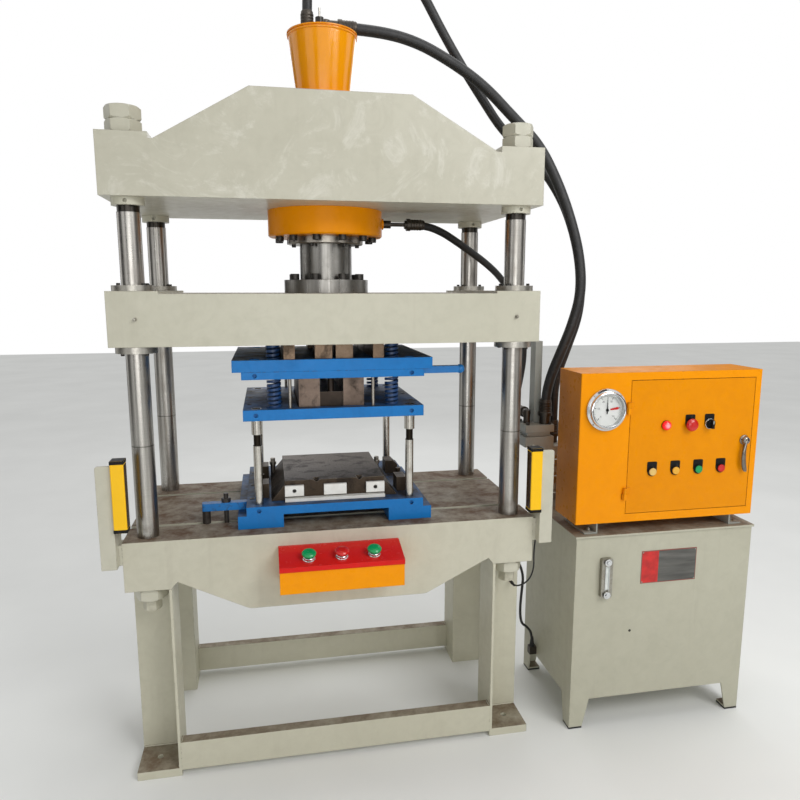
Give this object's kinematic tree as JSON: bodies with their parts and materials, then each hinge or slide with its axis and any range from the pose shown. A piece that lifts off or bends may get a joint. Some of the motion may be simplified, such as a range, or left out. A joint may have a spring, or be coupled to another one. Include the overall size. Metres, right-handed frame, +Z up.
{
  "type": "hydraulic press",
  "caption": "Four-column hydraulic press with a guided slide, spring-loaded die set, two-hand box, light curtains, oil tank, control cabinet and hoses.",
  "frame": {"origin": "on the floor, midway between the four columns, at the centre of the anchor-bolt pattern", "axes": "+Z up along the columns and the ram, +X to the right seen from the front, +Y to the rear"},
  "size_m": [2, 0.6799, 2.5013],
  "materials": {
    "cream_paint": "satin cream enamel, scuffed and dusty",
    "orange_paint": "gloss orange enamel",
    "blue_paint": "satin blue paint with bare edges",
    "ground_steel": "ground and turned steel, lightly oiled",
    "chrome": "hard chrome",
    "dark_steel": "dark oiled steel",
    "spring_paint": "dark blue coating",
    "tool_brown": "oiled tool steel with brown stain",
    "white_insert": "white plastic",
    "black_plastic": "matt black",
    "rubber": "matt black rubber",
    "button_red": "glossy red",
    "button_green": "glossy green",
    "button_yellow": "glossy yellow",
    "red_paint": "red enamel",
    "curtain_yellow": "yellow enamel",
    "grey_paint": "grey enamel"
  },
  "bodies": {
    "frame": {"legs": "cream_paint", "stretchers": "cream_paint", "bed": "cream_paint", "columns": "chrome", "column_nuts": "ground_steel", "collar_nuts": "cream_paint", "crown": "cream_paint", "cylinder_barrel": "orange_paint", "cylinder_gland": "ground_steel", "oil_bucket": "orange_paint", "bucket_lid": "orange_paint", "lower_die_shoe": "blue_paint", "guide_posts": "ground_steel", "lower_die_block": "ground_steel", "die_inserts": "white_insert", "die_clamp": "blue_paint", "tank": "cream_paint", "tank_lid": "cream_paint", "tank_pads": "rubber", "level_gauge": "black_plastic", "cabinet_feet": "grey_paint", "cabinet": "orange_paint", "pressure_gauge": "chrome", "pump_set": "grey_paint", "valve_manifold": "grey_paint", "control_box": "orange_paint", "control_box_lid": "red_paint", "curtain_brackets": "cream_paint", "light_curtains": "curtain_yellow", "hose_fittings": "dark_steel", "hose_1": "rubber", "hose_2": "rubber", "hose_3": "rubber", "control_cable": "rubber", "curtain_cable": "rubber"},
    "slide": {"slide": "cream_paint", "slide_bushes": "ground_steel", "ram": "chrome", "upper_die_plate": "blue_paint", "punch_plate": "blue_paint", "riser_blocks": "tool_brown", "punch_blocks": "tool_brown", "die_springs": "spring_paint", "side_bar": "blue_paint"},
    "stripper": {"stripper_plate": "blue_paint", "guide_sleeves": "ground_steel", "stripper_bolts": "ground_steel"},
    "door": {"cabinet_door": "orange_paint", "button_bezels": "black_plastic"},
    "handle": {"door_handle": "chrome"},
    "needle": {"gauge_needle": "black_plastic"},
    "estop": {"door_estop": "button_red"},
    "selector": {"selector_knob": "black_plastic"},
    "palm_left": {"palm_left": "button_green"},
    "palm_right": {"palm_right": "button_green"},
    "box_estop": {"box_estop": "button_red"},
    "button_1": {"push_button_1": "button_yellow"},
    "button_2": {"push_button_2": "button_yellow"},
    "button_3": {"push_button_3": "button_green"},
    "button_4": {"push_button_4": "button_red"}
  },
  "joints": [
    {"name": "slide_stroke", "type": "slide", "parent": "frame", "child": "slide", "axis": [0, 0, 1], "range_m": [-0.19, 0.02]},
    {"name": "stripper_float", "type": "slide", "parent": "slide", "child": "stripper", "axis": [0, 0, 1], "range_m": [0, 0.008], "stiffness_N_per_m": 200000, "springref_m": -0.01, "deforming": ["die_springs"]},
    {"name": "door_hinge", "type": "hinge", "parent": "frame", "child": "door", "pos_m": [0.892, -0.299, 0.928], "axis": [0, 0, 1], "range_deg": [-110, 0]},
    {"name": "handle_turn", "type": "hinge", "parent": "door", "child": "handle", "pos_m": [1.301, -0.3, 0.938], "axis": [0, 1, 0], "range_deg": [0, 90]},
    {"name": "needle_turn", "type": "hinge", "parent": "frame", "child": "needle", "pos_m": [0.817, -0.302, 1.052], "axis": [0, 1, 0], "range_deg": [-135, 135]},
    {"name": "estop_press", "type": "slide", "parent": "door", "child": "estop", "axis": [0, 1, 0], "range_m": [0, 0.005], "stiffness_N_per_m": 1500},
    {"name": "selector_turn", "type": "hinge", "parent": "door", "child": "selector", "pos_m": [1.172, -0.3, 0.996], "axis": [0, 1, 0], "range_deg": [-45, 45]},
    {"name": "button_1_press", "type": "slide", "parent": "door", "child": "button_1", "axis": [0, 1, 0], "range_m": [0, 0.003], "stiffness_N_per_m": 800},
    {"name": "button_2_press", "type": "slide", "parent": "door", "child": "button_2", "axis": [0, 1, 0], "range_m": [0, 0.003], "stiffness_N_per_m": 800},
    {"name": "button_3_press", "type": "slide", "parent": "door", "child": "button_3", "axis": [0, 1, 0], "range_m": [0, 0.003], "stiffness_N_per_m": 800},
    {"name": "button_4_press", "type": "slide", "parent": "door", "child": "button_4", "axis": [0, 1, 0], "range_m": [0, 0.003], "stiffness_N_per_m": 800},
    {"name": "palm_left_press", "type": "slide", "parent": "frame", "child": "palm_left", "axis": [0, 0.2425, -0.9701], "range_m": [0, 0.005], "stiffness_N_per_m": 1500},
    {"name": "palm_right_press", "type": "slide", "parent": "frame", "child": "palm_right", "axis": [0, 0.2425, -0.9701], "range_m": [0, 0.005], "stiffness_N_per_m": 1500},
    {"name": "box_estop_press", "type": "slide", "parent": "frame", "child": "box_estop", "axis": [0, 0.2425, -0.9701], "range_m": [0, 0.005], "stiffness_N_per_m": 1500}
  ]
}
